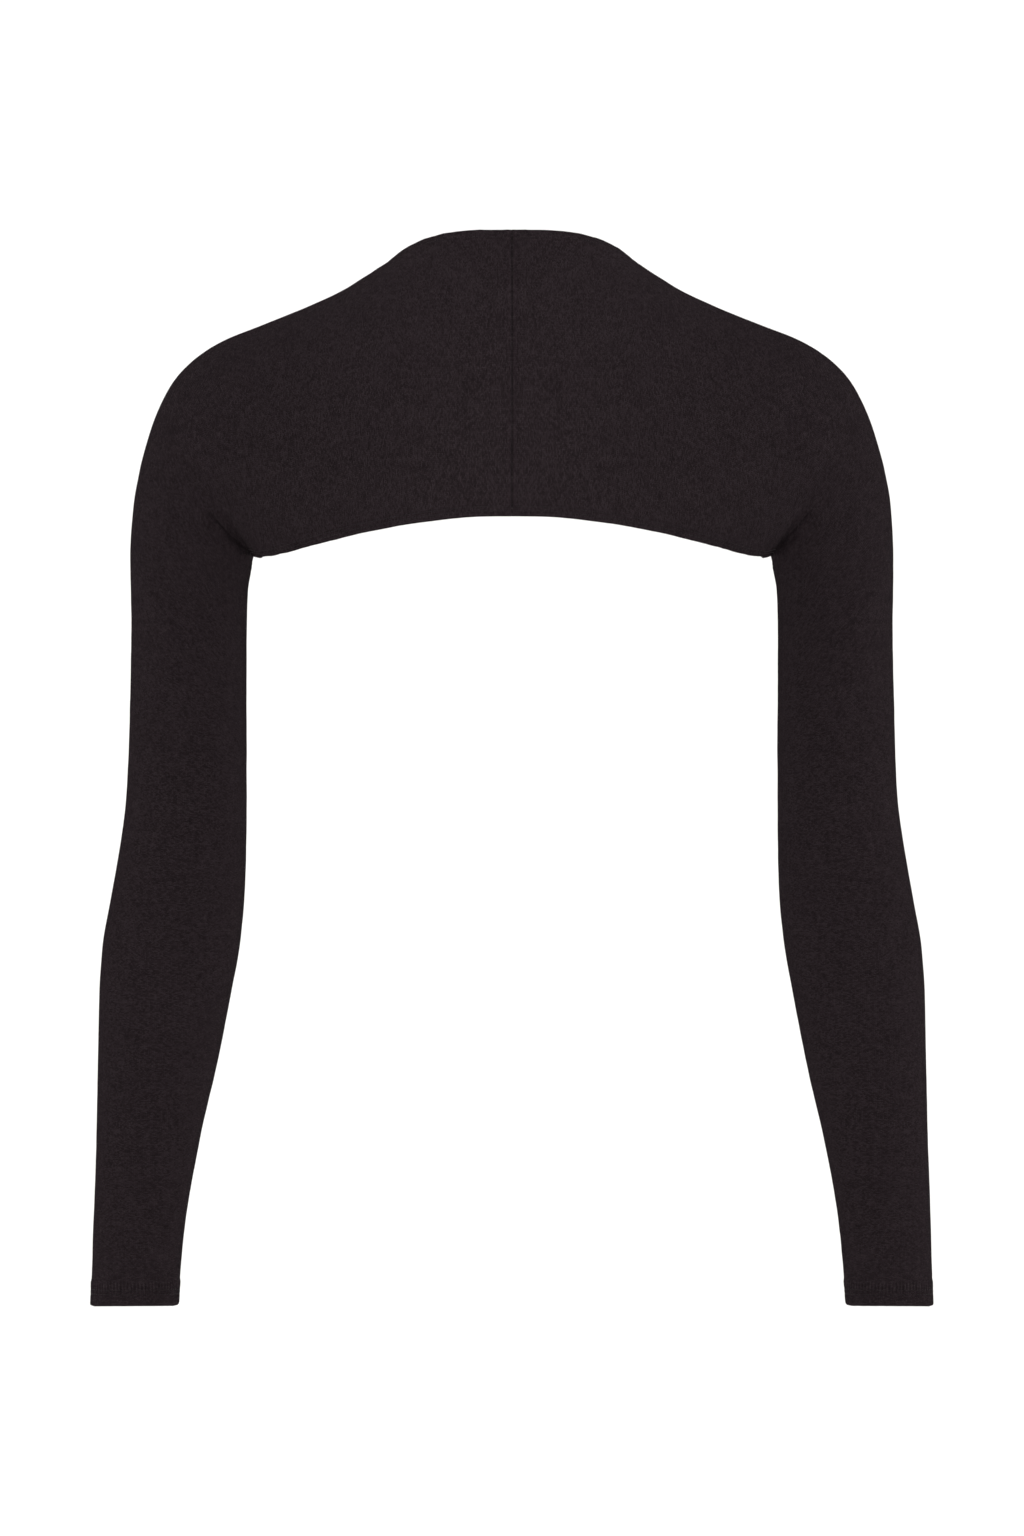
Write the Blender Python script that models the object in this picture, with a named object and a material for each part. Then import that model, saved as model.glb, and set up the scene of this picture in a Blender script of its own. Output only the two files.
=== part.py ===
"""Knitted shrug with long sleeves cut in one with the back, in two mirrored halves.

The wearer faces -Y and stands up +Z, so the back is towards +Y and the wearer's left is
+X. The origin is midway between the tops of the two shoulders that carry the shrug.
Sizes are in millimetres here and become metres as the meshes are made.
"""

import math

import bmesh
import bpy
import numpy as np
from mathutils import Matrix, Vector

MM = 0.001

# Driving dimensions, in millimetres
CLOTH_WALL = 1.5
SEAM_GAP = 0.3
MERGE = 0.0005
CREASE_ANGLE = math.radians(50)

# Faces round a section: up the back to the shoulder line, then down the front
FACES_BACK = 13
FACES_FRONT = 13

# The outline from behind. A section is a slice through the cloth from its low end, on the
# hem or the inside of the sleeve, to its top end, on the shoulder or the outside of the
# sleeve. Sections run from the centre back seam to the cuff, and fan round the armpit.
OUTLINE_COLUMNS = ("low_x", "low_z", "top_x", "top_z")
OUTLINE = (
    (0.0, -138.7, 0.0, 32.8),  # 0 centre back seam
    (18.9, -138.9, 20.2, 32.8),
    (33.6, -139.9, 35.7, 32.0),
    (47.1, -141.5, 50.0, 29.4),
    (58.9, -143.0, 63.3, 23.9),
    (68.4, -144.5, 74.9, 15.6),  # 5 neck edge crosses the shoulder line
    (77.9, -146.3, 87.5, 7.7),
    (89.8, -148.5, 103.1, -1.8),
    (104.8, -152.1, 123.5, -11.0),
    (121.0, -155.8, 148.7, -21.0),
    (135.5, -159.0, 172.8, -30.6),  # 10 point of the shoulder
    (145.4, -160.4, 189.6, -41.0),
    (151.3, -160.8, 202.2, -53.7),
    (155.2, -160.8, 211.2, -69.9),  # 13 top of the underarm seam: the sleeve closes
    (156.9, -170.4, 218.1, -88.2),
    (158.2, -180.0, 223.6, -108.0),
    (159.2, -192.0, 227.2, -129.0),
    (159.5, -210.0, 228.9, -159.0),
    (159.3, -240.0, 228.6, -204.0),
    (159.3, -276.0, 229.5, -261.0),
    (159.3, -312.0, 231.3, -303.0),
    (159.6, -339.0, 235.5, -336.0),
    (160.5, -366.0, 240.9, -366.0),  # 22 elbow
    (163.3, -393.0, 245.8, -393.0),
    (168.5, -421.3, 247.9, -421.3),
    (177.3, -465.3, 248.8, -465.3),
    (188.9, -516.6, 250.2, -516.6),
    (196.8, -561.9, 252.0, -561.9),
    (201.2, -609.6, 253.5, -609.8),  # 28 cuff edge
)

# The depth of some of those sections, front to back. top_y is the depth of the top end.
# back_y and front_y are the fullest, which lie back_at and front_at of the way up. A round
# of 0.5 curves in to its end like an ellipse, and 1.0 like a parabola.
DEPTH_COLUMNS = (
    "section", "top_y", "back_y", "front_y", "back_at", "front_at", "low_round", "top_round",
)
DEPTHS = (
    (0, 53, 98.0, -40, 0.25, 0.30, 1.00, 1.00),
    (3, 38, 96.3, -46, 0.25, 0.30, 1.00, 0.85),
    (4, 26, 94.9, -49, 0.25, 0.30, 1.00, 0.70),
    (5, 11, 93.2, -52, 0.25, 0.30, 1.00, 0.55),
    (7, 7, 87.5, -60, 0.27, 0.32, 1.00, 0.50),
    (9, 3, 76, -62, 0.32, 0.36, 0.90, 0.50),
    (11, 0, 61, -57, 0.40, 0.42, 0.70, 0.50),
    (13, -2, 50, -50, 0.46, 0.47, 0.50, 0.50),
    (15, -2, 45, -46, 0.50, 0.50, 0.50, 0.50),
    (18, -2, 42, -45, 0.50, 0.50, 0.50, 0.50),
    (22, 0, 40, -39, 0.50, 0.50, 0.50, 0.50),
    (24, -5, 33, -41, 0.50, 0.50, 0.50, 0.50),
    (28, -20, 2, -42, 0.50, 0.50, 0.50, 0.50),
)

# The one edge round the neck, the fronts and the hem. back_low_y is how deep the back hem
# lies, and front_low_y the low end of the front. front_share is how much of the way from
# the top end down to that low end the front covers, and is below 0 where the neck edge
# still lies behind the shoulder line.
EDGE_COLUMNS = ("section", "back_low_y", "front_low_y", "front_share")
EDGES = (
    (0, 93, -40, -0.60),
    (3, 91, -42, -0.20),
    (4, 89, -44, -0.10),
    (5, 87, -46, 0.00),
    (7, 79, -52, 0.25),
    (9, 60, -52, 0.66),
    (11, 38, -40, 0.93),
    (12, 26, -30, 0.98),
    (13, -2, -2, 1.00),
)
CLOSING_SECTION = 13
FINE_STEPS = 160
EDGE_SNAP = 0.4  # a point this share of a face from the front edge moves onto it

# Rows of faces along the cloth, by the section where each stretch ends.
STRETCH_COLUMNS = ("to_section", "rows")
STRETCHES = (
    (5, 8),  # back
    (7, 6),  # side of the neck
    (10, 7),  # shoulder
    (13, 6),  # armpit
    (17, 7),  # round of the shoulder
    (22, 8),  # upper arm
    (28, 12),  # forearm
)

# Soft folds at the armpit, each a trough along a straight line seen from behind. side is
# 1 behind and -1 in front.
FOLD_COLUMNS = ("side", "from_x", "from_z", "to_x", "to_z", "depth", "half_width")
FOLDS = (
    (1, 153.0, -164.0, 180.0, -133.0, 4.0, 8.0),
    (-1, 153.0, -164.0, 177.0, -128.0, 4.5, 9.0),
)
FOLD_STARTS_Y = 8.0
FOLD_WHOLE_Y = 30.0

BLACK_KNIT = (0.0194, 0.0144, 0.0160, 1.0)
KNIT_ROUGHNESS = 0.92


def column(table, names, name):
    return np.array([row[names.index(name)] for row in table], float)


def smooth(stations, values, at, level_start):
    """The values read at one place, on a smooth curve through the stations that never
    swings past them. A level start meets its mirror image without a corner."""
    rises = np.diff(values) / np.diff(stations)
    slopes = np.concatenate([[0.0 if level_start else rises[0]], rises])
    for i in range(1, len(rises)):
        before, after = rises[i - 1], rises[i]
        slopes[i] = 2 * before * after / (before + after) if before * after > 0 else 0.0
    i = int(np.clip(np.searchsorted(stations, at, side="right") - 1, 0, len(stations) - 2))
    step = stations[i + 1] - stations[i]
    t = (at - stations[i]) / step
    return (
        (2 * t**3 - 3 * t**2 + 1) * values[i]
        + (t**3 - 2 * t**2 + t) * step * slopes[i]
        + (3 * t**2 - 2 * t**3) * values[i + 1]
        + (t**3 - t**2) * step * slopes[i + 1]
    )


def outline_stations():
    """How far each outline section lies from the centre back, along the middle of the cloth."""
    low = np.stack([column(OUTLINE, OUTLINE_COLUMNS, n) for n in ("low_x", "low_z")], axis=1)
    top = np.stack([column(OUTLINE, OUTLINE_COLUMNS, n) for n in ("top_x", "top_z")], axis=1)
    steps = np.linalg.norm(np.diff((low + top) / 2, axis=0), axis=1)
    return np.concatenate([[0.0], np.cumsum(steps)])


STATIONS = outline_stations()


def table_sizes(table, names, along):
    """Every size in a table that is keyed by section, read this far along the cloth."""
    stations = STATIONS[column(table, names, "section").astype(int)]
    return {
        name: smooth(stations, column(table, names, name), along, level_start=True)
        for name in names[1:]
    }


def section_sizes(along):
    """Every named size of the section that lies this far along the cloth."""
    sizes = table_sizes(DEPTHS, DEPTH_COLUMNS, along)
    for name in OUTLINE_COLUMNS:
        values = column(OUTLINE, OUTLINE_COLUMNS, name)
        sizes[name] = smooth(STATIONS, values, along, level_start=name.endswith("_z"))
    if along < STATIONS[CLOSING_SECTION] - MERGE:
        sizes.update(table_sizes(EDGES, EDGE_COLUMNS, along))
        sizes["front_share"] = max(sizes["front_share"], 0.0)
    else:
        sizes["back_low_y"] = sizes["top_y"]
        sizes["front_low_y"] = sizes["top_y"]
        sizes["front_share"] = 1.0
    return sizes


def depth_at(up, sizes, side):
    """Depth of one side of a section at a share of the way up it."""
    fullest = sizes[f"{side}_y"]
    at = sizes[f"{side}_at"]
    if up >= at:
        reach = max(0.0, 1 - ((up - at) / (1 - at)) ** 2) ** sizes["top_round"]
        return sizes["top_y"] + (fullest - sizes["top_y"]) * reach
    reach = max(0.0, 1 - ((at - up) / at) ** 2) ** sizes["low_round"]
    low = sizes[f"{side}_low_y"]
    return low + (fullest - low) * reach


def side_line(sizes, side):
    """Fine points on one side of a section, from its low end to its top end."""
    points = []
    for i in range(FINE_STEPS + 1):
        up = (1 - math.cos(math.pi * i / FINE_STEPS)) / 2
        x = sizes["low_x"] + (sizes["top_x"] - sizes["low_x"]) * up
        z = sizes["low_z"] + (sizes["top_z"] - sizes["low_z"]) * up
        points.append((x, depth_at(up, sizes, side), z))
    return np.array(points)


def read_line(points, shares):
    """The line through the points, read at these shares of its length."""
    steps = np.linalg.norm(np.diff(points, axis=0), axis=1)
    lengths = np.concatenate([[0.0], np.cumsum(steps)])
    at = np.array(shares) * lengths[-1]
    return np.stack([np.interp(at, lengths, points[:, k]) for k in range(3)], axis=1)


def front_shares(front_share):
    """Where the points down the front lie, with those past the front edge drawn up to it."""
    spacing = 1 / FACES_FRONT
    shares = [(i + 1) * spacing for i in range(FACES_FRONT)]
    return [share if share < front_share - EDGE_SNAP * spacing else front_share for share in shares]


def section_points(along):
    """The section from its low end up the back, over the top and down the front."""
    sizes = section_sizes(along)
    back = read_line(side_line(sizes, "back"), np.linspace(0, 1, FACES_BACK + 1))
    front = read_line(side_line(sizes, "front")[::-1], front_shares(sizes["front_share"]))
    return np.concatenate([back, front])


def eased(share):
    """0 up to 0, 1 from 1 on, and smooth between."""
    share = min(max(share, 0.0), 1.0)
    return share * share * (3 - 2 * share)


def folded(point):
    """The point pressed into the armpit folds."""
    x, y, z = point
    for row in FOLDS:
        fold = dict(zip(FOLD_COLUMNS, row))
        start = np.array([fold["from_x"], fold["from_z"]])
        run = np.array([fold["to_x"], fold["to_z"]]) - start
        share = float(np.dot(np.array([x, z]) - start, run) / np.dot(run, run))
        away = np.linalg.norm(np.array([x, z]) - start - run * min(max(share, 0.0), 1.0))
        on_side = eased((fold["side"] * y - FOLD_STARTS_Y) / (FOLD_WHOLE_Y - FOLD_STARTS_Y))
        press = fold["depth"] * math.exp(-((away / fold["half_width"]) ** 2)) * on_side
        y -= fold["side"] * press
    return np.array([x, y, z])


def row_places():
    """How far along the cloth each row of points lies, with one row past the centre back."""
    places = [0.0]
    for to_section, rows in STRETCHES:
        places += list(np.linspace(places[-1], STATIONS[to_section], rows + 1)[1:])
    return [-places[1], *places]


def half_mesh(name):
    """The half towards +X: a grid laid over the sections, closed at the underarm seam,
    given its wall inwards, and cut flat at the centre back."""
    places = row_places()
    faces_around = FACES_BACK + FACES_FRONT
    lines = [np.array([folded(p) for p in section_points(abs(at))]) for at in places]
    lines[0][:, 0] *= -1
    grid = bmesh.new()
    bmesh.ops.create_grid(grid, x_segments=len(places) - 1, y_segments=faces_around, size=1)
    for vert in grid.verts:
        row = round((vert.co.x + 1) / 2 * (len(places) - 1))
        around = round((vert.co.y + 1) / 2 * faces_around)
        vert.co = Vector(lines[row][around]) * MM
    bmesh.ops.remove_doubles(grid, verts=grid.verts, dist=MERGE * MM)
    bmesh.ops.recalc_face_normals(grid, faces=grid.faces)
    bmesh.ops.solidify(grid, geom=grid.faces[:], thickness=CLOTH_WALL * MM)
    bmesh.ops.recalc_face_normals(grid, faces=grid.faces)
    bmesh.ops.bisect_plane(
        grid, geom=grid.verts[:] + grid.edges[:] + grid.faces[:], dist=MERGE * MM,
        plane_co=(SEAM_GAP / 2 * MM, 0, 0), plane_no=(1, 0, 0), clear_inner=True,
    )
    bmesh.ops.holes_fill(grid, edges=[edge for edge in grid.edges if edge.is_boundary], sides=0)
    bmesh.ops.recalc_face_normals(grid, faces=grid.faces)
    mesh = bpy.data.meshes.new(name)
    grid.to_mesh(mesh)
    grid.free()
    mesh.shade_smooth()
    mesh.set_sharp_from_angle(angle=CREASE_ANGLE)
    return mesh


def mirrored(mesh, name):
    other = mesh.copy()
    other.name = name
    other.transform(Matrix.Diagonal((-1, 1, 1, 1)))
    other.flip_normals()
    return other


def black_knit():
    material = bpy.data.materials.new("black_knit")
    material.use_nodes = True
    shader = material.node_tree.nodes["Principled BSDF"]
    shader.inputs["Base Color"].default_value = BLACK_KNIT
    shader.inputs["Roughness"].default_value = KNIT_ROUGHNESS
    shader.inputs["Metallic"].default_value = 0.0
    return material


def add_piece(name, mesh, material):
    mesh.materials.append(material)
    piece = bpy.data.objects.new(name, mesh)
    bpy.context.scene.collection.objects.link(piece)


def main():
    for thing in list(bpy.data.objects):
        bpy.data.objects.remove(thing, do_unlink=True)
    left = half_mesh("left_half")
    right = mirrored(left, "right_half")
    knit = black_knit()
    add_piece("left_half", left, knit)
    add_piece("right_half", right, knit)


main()
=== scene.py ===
import math

import bmesh
import bpy
import numpy as np
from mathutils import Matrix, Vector, kdtree, noise


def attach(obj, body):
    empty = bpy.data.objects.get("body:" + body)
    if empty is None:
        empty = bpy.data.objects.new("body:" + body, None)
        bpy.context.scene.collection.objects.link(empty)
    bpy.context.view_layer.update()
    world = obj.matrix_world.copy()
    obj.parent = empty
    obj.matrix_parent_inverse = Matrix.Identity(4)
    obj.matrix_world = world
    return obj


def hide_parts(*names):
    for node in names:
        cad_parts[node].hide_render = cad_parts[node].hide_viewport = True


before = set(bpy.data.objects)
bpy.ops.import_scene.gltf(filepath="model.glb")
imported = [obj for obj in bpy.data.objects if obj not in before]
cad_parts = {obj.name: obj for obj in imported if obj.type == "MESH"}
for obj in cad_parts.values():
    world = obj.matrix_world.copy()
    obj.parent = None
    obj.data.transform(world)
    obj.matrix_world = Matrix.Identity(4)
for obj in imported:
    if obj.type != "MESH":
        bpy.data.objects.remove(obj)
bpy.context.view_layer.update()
mm = 0.001
mergeDistance = 0.002  # mm

# The form of one half. A section runs from its low end, on the hem or the inside of the
# sleeve, to its top end, on the shoulder or the outside of the sleeve. Sections go from the
# centre back seam to the cuff and fan round the armpit.
shrugForm = {
    "outline": [  # low x, low z, top x, top z
        (0.0, -138.7, 0.0, 33.2),  # 0 centre back seam
        (18.9, -138.9, 20.2, 33.2),
        (33.6, -139.9, 35.7, 32.3),
        (47.1, -141.5, 50.0, 29.4),
        (58.9, -143.0, 63.3, 23.9),
        (68.4, -144.5, 74.9, 15.6),  # 5 neck edge crosses the shoulder line
        (77.9, -146.3, 87.5, 7.7),
        (89.8, -148.5, 103.1, -1.8),
        (104.8, -152.1, 123.5, -11.0),
        (121.0, -155.8, 148.7, -21.0),
        (135.5, -159.5, 172.8, -30.6),  # 10 point of the shoulder
        (145.4, -160.9, 189.6, -41.0),
        (151.3, -160.5, 202.2, -53.7),
        (155.2, -159.6, 211.2, -69.9),  # 13 top of the underarm seam
        (157.2, -170.0, 218.1, -88.2),
        (158.8, -180.0, 223.6, -108.0),
        (159.2, -192.0, 227.2, -129.0),
        (159.5, -210.0, 228.9, -159.0),
        (159.3, -240.0, 228.6, -204.0),
        (159.3, -276.0, 229.5, -261.0),
        (159.3, -312.0, 231.3, -303.0),
        (159.6, -339.0, 235.5, -336.0),
        (160.5, -366.0, 240.9, -366.0),  # 22 elbow
        (163.3, -393.0, 245.8, -393.0),
        (168.5, -421.3, 247.9, -421.3),
        (177.3, -465.3, 248.8, -465.3),
        (188.9, -516.6, 250.2, -516.6),
        (196.8, -561.9, 252.0, -561.9),
        (201.2, -609.6, 253.5, -609.8),  # 28 cuff edge
    ],
    "depthNames": ("topY", "backY", "frontY", "backAt", "frontAt", "lowRound", "topRound"),
    "depths": [  # section, then how deep it is and where it is fullest
        (0, 53, 98.0, -40, 0.25, 0.30, 1.00, 1.00),
        (3, 38, 96.3, -46, 0.25, 0.30, 1.00, 0.85),
        (4, 26, 94.9, -49, 0.25, 0.30, 1.00, 0.70),
        (5, 11, 93.2, -52, 0.25, 0.30, 1.00, 0.55),
        (7, 7, 87.5, -60, 0.27, 0.32, 1.00, 0.50),
        (9, 3, 76.0, -62, 0.32, 0.36, 0.90, 0.50),
        (11, 0, 60.0, -57, 0.40, 0.42, 0.66, 0.50),
        (13, -2, 50.0, -50, 0.46, 0.47, 0.38, 0.50),
        (15, -2, 45.0, -46, 0.50, 0.50, 0.50, 0.50),
        (18, -2, 42.0, -45, 0.50, 0.50, 0.50, 0.50),
        (22, 0, 40.0, -39, 0.50, 0.50, 0.50, 0.50),
        (24, -5, 33.0, -41, 0.50, 0.50, 0.50, 0.50),
        (28, -20, 2.0, -42, 0.50, 0.50, 0.50, 0.50),
    ],
    "edgeNames": ("backLowY", "frontLowY", "frontShare"),
    "edges": [  # section, depth of the hem and of the front's low end, share of the front covered
        (0, 93, -40, -0.60),
        (3, 91, -42, -0.20),
        (4, 89, -44, -0.10),
        (5, 87, -46, 0.00),
        (7, 79, -52, 0.25),
        (9, 60, -52, 0.66),
        (11, 40, -40, 0.93),
        (12, 31, -30, 0.98),
        (13, -2, -2, 1.00),
    ],
    "closingSection": 13,
    "fineSteps": 200,
    # where the neck edge is eased over the shoulder: between these sections, out to this reach
    "neckEasing": {"sections": (1.5, 8.5), "taper": 15.0, "reach": 22.0, "share": 0.5, "turns": 60},
}
outline = np.array(shrugForm["outline"])
middles = (outline[:, 0:2] + outline[:, 2:4]) / 2
stations = np.concatenate([[0.0], np.cumsum(np.linalg.norm(np.diff(middles, axis=0), axis=1))])
closingPlace = stations[shrugForm["closingSection"]]
cuffPlace = stations[-1]


def eased(share):
    share = np.clip(share, 0.0, 1.0)
    return share * share * (3 - 2 * share)


def hump(away, width):
    return np.exp(-((away / width) ** 2))


def smoothRead(places, values, at, levelStart=True):
    # a smooth curve through the values that never swings past them
    places, values, at = (np.asarray(v, float) for v in (places, values, at))
    rises = np.diff(values) / np.diff(places)
    slopes = np.concatenate([[0.0 if levelStart else rises[0]], rises])
    for i in range(1, len(rises)):
        before, after = rises[i - 1], rises[i]
        slopes[i] = 2 * before * after / (before + after) if before * after > 0 else 0.0
    i = np.clip(np.searchsorted(places, at, side="right") - 1, 0, len(places) - 2)
    step = places[i + 1] - places[i]
    t = (at - places[i]) / step
    return (
        (2 * t**3 - 3 * t**2 + 1) * values[i] + (t**3 - 2 * t**2 + t) * step * slopes[i]
        + (3 * t**2 - 2 * t**3) * values[i + 1] + (t**3 - t**2) * step * slopes[i + 1]
    )


def lengthsOf(line):
    return np.concatenate([[0.0], np.cumsum(np.linalg.norm(np.diff(line, axis=0), axis=1))])


def readLine(line, lengths, at):
    return np.stack([np.interp(at, lengths, line[:, k]) for k in range(line.shape[1])], axis=1)


def sectionSizes(along):
    # every size of the sections that lie this far along the cloth, each as an array
    sizes = {}
    for k, name in enumerate(("lowX", "lowZ", "topX", "topZ")):
        sizes[name] = smoothRead(stations, outline[:, k], along, levelStart=name.endswith("Z"))
    for names, rows in (("depthNames", "depths"), ("edgeNames", "edges")):
        table = np.array(shrugForm[rows])
        places = stations[table[:, 0].astype(int)]
        for k, name in enumerate(shrugForm[names]):
            sizes[name] = smoothRead(places, table[:, k + 1], np.minimum(along, places[-1]))
    closed = np.asarray(along) >= closingPlace
    for name in ("backLowY", "frontLowY"):
        sizes[name] = np.where(closed, sizes["topY"], sizes[name])
    sizes["frontShare"] = np.where(closed, 1.0, np.clip(sizes["frontShare"], 0.0, 1.0))
    return sizes


def sectionLine(sizes, row):
    # one section as a fine line: up the back from the low end, over the top and down the front
    size = {name: values[row] for name, values in sizes.items()}
    up = (1 - np.cos(np.linspace(0, math.pi, shrugForm["fineSteps"] + 1))) / 2
    sides = []
    for side in ("back", "front"):
        at, full, low = size[side + "At"], size[side + "Y"], size[side + "LowY"]
        share = np.where(up >= at, (up - at) / (1 - at), (at - up) / at)
        power = np.where(up >= at, size["topRound"], size["lowRound"])
        end = np.where(up >= at, size["topY"], low)
        y = end + (full - end) * np.clip(1 - share**2, 0, 1) ** power
        x = size["lowX"] + (size["topX"] - size["lowX"]) * up
        z = size["lowZ"] + (size["topZ"] - size["lowZ"]) * up
        sides.append(np.stack([x, y, z], axis=1))
    back, front = sides[0], sides[1][::-1]
    lengths = lengthsOf(front)
    reach = lengths[-1] * size["frontShare"]
    keep = int(np.searchsorted(lengths, reach))
    line = np.concatenate([back, front[1:max(keep, 1)], readLine(front, lengths, [reach])])
    return line, lengthsOf(back)[-1]


# How the cloth is divided: rows run round the sections and columns along the sleeve. Both are
# finer where a seam, a hem or the armpit needs them. Places and steps are in millimetres.
clothGrid = {
    "rowSteps": [  # start, stop and step; a place below zero counts back from the cuff
        (0.0, 3.0, 0.5), (3.0, 5.4, 1.2), (5.4, 7.4, 0.5), (7.4, 14.0, 1.65), (14.0, 75.0, 2.2),
        (75.0, 182.0, 1.65), (182.0, 214.0, 0.65), (214.0, -19.0, 2.35), (-19.0, 0.0, 0.72),
    ],
    "hemColumns": [0.0, 0.3, 0.7, 1.2, 1.8, 2.4, 2.9, 3.3, 3.7, 4.1, 4.7, 5.3, 5.7, 6.1, 6.5, 7.1,
                   7.8, 8.4, 9.2, 10.4, 12.0, 14.0],
    "seamColumns": [0.0, 0.4, 0.8, 1.3, 1.9, 2.7, 3.8, 5.4, 6.2, 6.8],
    "columns": 116,
    "changeOver": (12.0, 60.0),  # where past the armpit these change over, and over what length
    "edgeStep": 0.4,  # between the points that distances from the open edge are taken to
}


def rowPlaces():
    places = [0.0]
    for start, stop, step in clothGrid["rowSteps"]:
        start = cuffPlace + start if start < 0 else start
        stop = cuffPlace + stop if stop <= 0 else stop
        places += list(np.linspace(start, stop, max(2, round((stop - start) / step) + 1)))[1:]
    places[int(np.argmin(np.abs(np.array(places) - closingPlace)))] = closingPlace
    return np.array(places)


def columnPlaces(length, along):
    # distances round a section, from its low back end to its front end
    start, over = clothGrid["changeOver"]
    spread = float(eased((along - closingPlace - start) / over))
    shares = []
    for name in ("hemColumns", "seamColumns"):
        ends = np.array(clothGrid[name])
        middle = np.linspace(ends[-1], length - ends[-1], clothGrid["columns"] - 2 * len(ends) + 3)
        shares.append(np.concatenate([ends[:-1], middle, length - ends[:-1][::-1]]))
    return shares[0] * (1 - spread) + shares[1] * spread


def formGrid():
    # places and knit coordinates of every grid point of the left half
    along = rowPlaces()
    sizes = sectionSizes(along)
    points, knitPlaces, toEnd = [], [], []
    for row in range(len(along)):
        line, backLength = sectionLine(sizes, row)
        lengths = lengthsOf(line)
        places = columnPlaces(lengths[-1], along[row])
        points.append(readLine(line, lengths, places))
        knitPlaces.append(np.stack([np.full_like(places, along[row]), backLength - places], axis=1))
        toEnd.append(np.minimum(places, lengths[-1] - places))
    return along, np.array(points), np.array(knitPlaces), np.array(toEnd)


def easeNeck(points, along, toEnd):
    # the depth of the neck edge passes the shoulder in one even curve
    easing = shrugForm["neckEasing"]
    first, last = (np.interp(s, range(len(stations)), stations) for s in easing["sections"])
    inside = eased((along - first) / easing["taper"]) * eased((last - along) / easing["taper"])
    near = hump(toEnd, easing["reach"]) * (np.arange(points.shape[1]) > points.shape[1] / 2)
    share = easing["share"] * inside[:, None] * near
    for turn in range(easing["turns"]):
        between = (points[:-2, :, 1] + points[2:, :, 1]) / 2 - points[1:-1, :, 1]
        points[1:-1, :, 1] += share[1:-1] * between
    return points


print("form: laying the grid over the sections")
rowsAlong, gridPoints, gridKnit, gridToEnd = formGrid()
gridPoints = easeNeck(gridPoints, rowsAlong, gridToEnd)
rowCount, columnCount = gridPoints.shape[:2]
closingRow = int(np.argmin(np.abs(rowsAlong - closingPlace)))
print("form:", rowCount, "rows of", columnCount, "points")


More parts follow.
